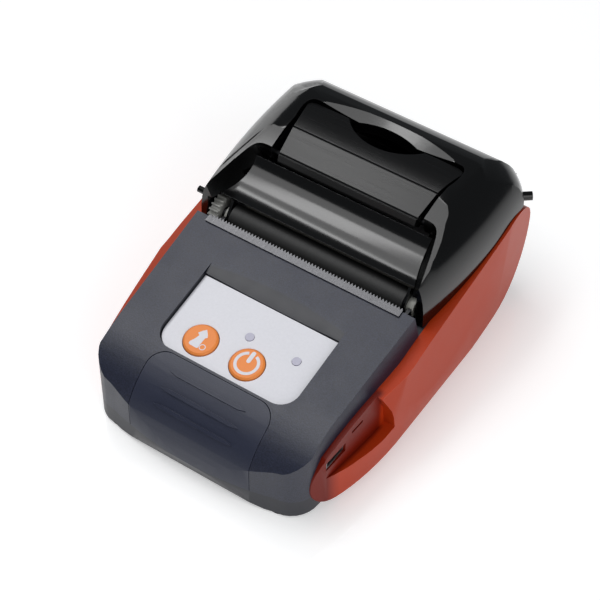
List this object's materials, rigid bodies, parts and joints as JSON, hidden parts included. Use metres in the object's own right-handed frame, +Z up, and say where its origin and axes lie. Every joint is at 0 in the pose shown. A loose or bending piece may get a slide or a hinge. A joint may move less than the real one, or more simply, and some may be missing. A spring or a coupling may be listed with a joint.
{
  "type": "portable thermal printer",
  "caption": "Pocket receipt printer with a hinged glossy lid over a paper bin, a release lever, a roller and print head, push buttons and a charging socket.",
  "frame": {"origin": "centre of the footprint, on the surface the printer stands on", "axes": "+Z up, +Y to the hinge at the back, +X to the side with the charging socket"},
  "size_m": [0.077, 0.106, 0.046],
  "materials": {
    "base_plastic": "satin",
    "slate_plastic": "soft satin",
    "grip_rubber": "matt",
    "orange_plastic": "satin",
    "label_film": "satin",
    "button_orange": "satin",
    "lens_clear": "frosted",
    "board_green": "satin",
    "chip_black": "matt",
    "light_white": "gloss",
    "tin_plate": "satin",
    "steel": "brushed",
    "screw_black": "satin",
    "battery_wrap": "satin",
    "gilt": "bright",
    "foot_rubber": "matt",
    "ceramic": "glazed",
    "aluminium": "cast",
    "ribbon_film": "gloss",
    "gear_white": "satin",
    "brass": "satin",
    "bin_black": "fine grain",
    "gloss_black": "piano gloss",
    "lever_black": "satin",
    "roller_rubber": "matt",
    "bush_plastic": "satin"
  },
  "bodies": {
    "case": {"base_shell": "base_plastic", "top_shell": "slate_plastic", "nose_grip": "grip_rubber", "side_panel_left": "orange_plastic", "side_panel_right": "orange_plastic", "label_plate": "label_film", "light_window_left": "lens_clear", "light_window_right": "lens_clear", "button_board": "board_green", "button_switches": "tin_plate", "status_lights": "light_white", "main_board": "board_green", "board_chips": "chip_black", "usb_socket": "tin_plate", "battery": "battery_wrap", "battery_contacts": "gilt", "feet": "foot_rubber", "case_screws": "screw_black", "printer_frame": "steel", "frame_screws": "screw_black", "print_head": "ceramic", "head_heat_sink": "aluminium", "head_pivot_pin": "steel", "head_springs": "steel", "head_ribbon": "ribbon_film", "tear_bar": "steel", "motor": "tin_plate", "gear_axles": "steel", "paper_sensor": "chip_black", "lid_sensor": "chip_black", "paper_bin": "bin_black", "hinge_pin": "steel"},
    "lid": {"cover_shell": "gloss_black", "paper_guide": "gloss_black", "guide_screws": "screw_black", "lever_pin": "steel", "lever_springs": "steel", "platen_bushes": "bush_plastic"},
    "lever": {"release_lever": "lever_black"},
    "platen": {"platen_shaft": "steel", "platen_rubber": "roller_rubber", "platen_gear": "gear_white"},
    "feed_key": {"feed_button": "button_orange"},
    "power_key": {"power_button": "button_orange"},
    "battery_hatch": {"battery_door": "base_plastic"},
    "reduction": {"reduction_gear": "gear_white"},
    "idler": {"idler_gear": "gear_white"},
    "pinion": {"motor_pinion": "brass"}
  },
  "joints": [
    {"name": "lid_hinge", "type": "hinge", "parent": "case", "child": "lid", "pos_m": [0, 0.0495, 0.027], "axis": [-1, 0, 0], "range_deg": [0, 90]},
    {"name": "lever_hinge", "type": "hinge", "parent": "lid", "child": "lever", "pos_m": [0, 0.0208, 0.0395], "axis": [1, 0, 0], "range_deg": [0, 14], "stiffness_Nm_per_rad": 0.02, "springref_deg": -17.19},
    {"name": "platen_spin", "type": "hinge", "parent": "lid", "child": "platen", "pos_m": [0, 0.0044, 0.0286], "axis": [1, 0, 0], "continuous": true},
    {"name": "feed_press", "type": "slide", "parent": "case", "child": "feed_key", "axis": [0, 0.1736, -0.9848], "range_m": [0, 0.0005], "stiffness_N_per_m": 400, "springref_m": -0.001},
    {"name": "power_press", "type": "slide", "parent": "case", "child": "power_key", "axis": [0, 0.1736, -0.9848], "range_m": [0, 0.0005], "stiffness_N_per_m": 400, "springref_m": -0.001},
    {"name": "battery_slide", "type": "slide", "parent": "case", "child": "battery_hatch", "axis": [0, 1, 0], "range_m": [0, 0.006]},
    {"name": "reduction_spin", "type": "hinge", "parent": "case", "child": "reduction", "pos_m": [-0.0292, 0.00053, 0.02307], "axis": [1, 0, 0], "continuous": true},
    {"name": "idler_spin", "type": "hinge", "parent": "case", "child": "idler", "pos_m": [-0.0273, -0.00817, 0.02074], "axis": [1, 0, 0], "continuous": true},
    {"name": "pinion_spin", "type": "hinge", "parent": "case", "child": "pinion", "pos_m": [-0.0273, -0.01428, 0.01789], "axis": [1, 0, 0], "continuous": true}
  ],
  "couplings": [
    {"joint": "reduction_spin", "follows": "platen_spin", "ratio": -1.5},
    {"joint": "idler_spin", "follows": "platen_spin", "ratio": 1.5},
    {"joint": "pinion_spin", "follows": "platen_spin", "ratio": -3}
  ]
}
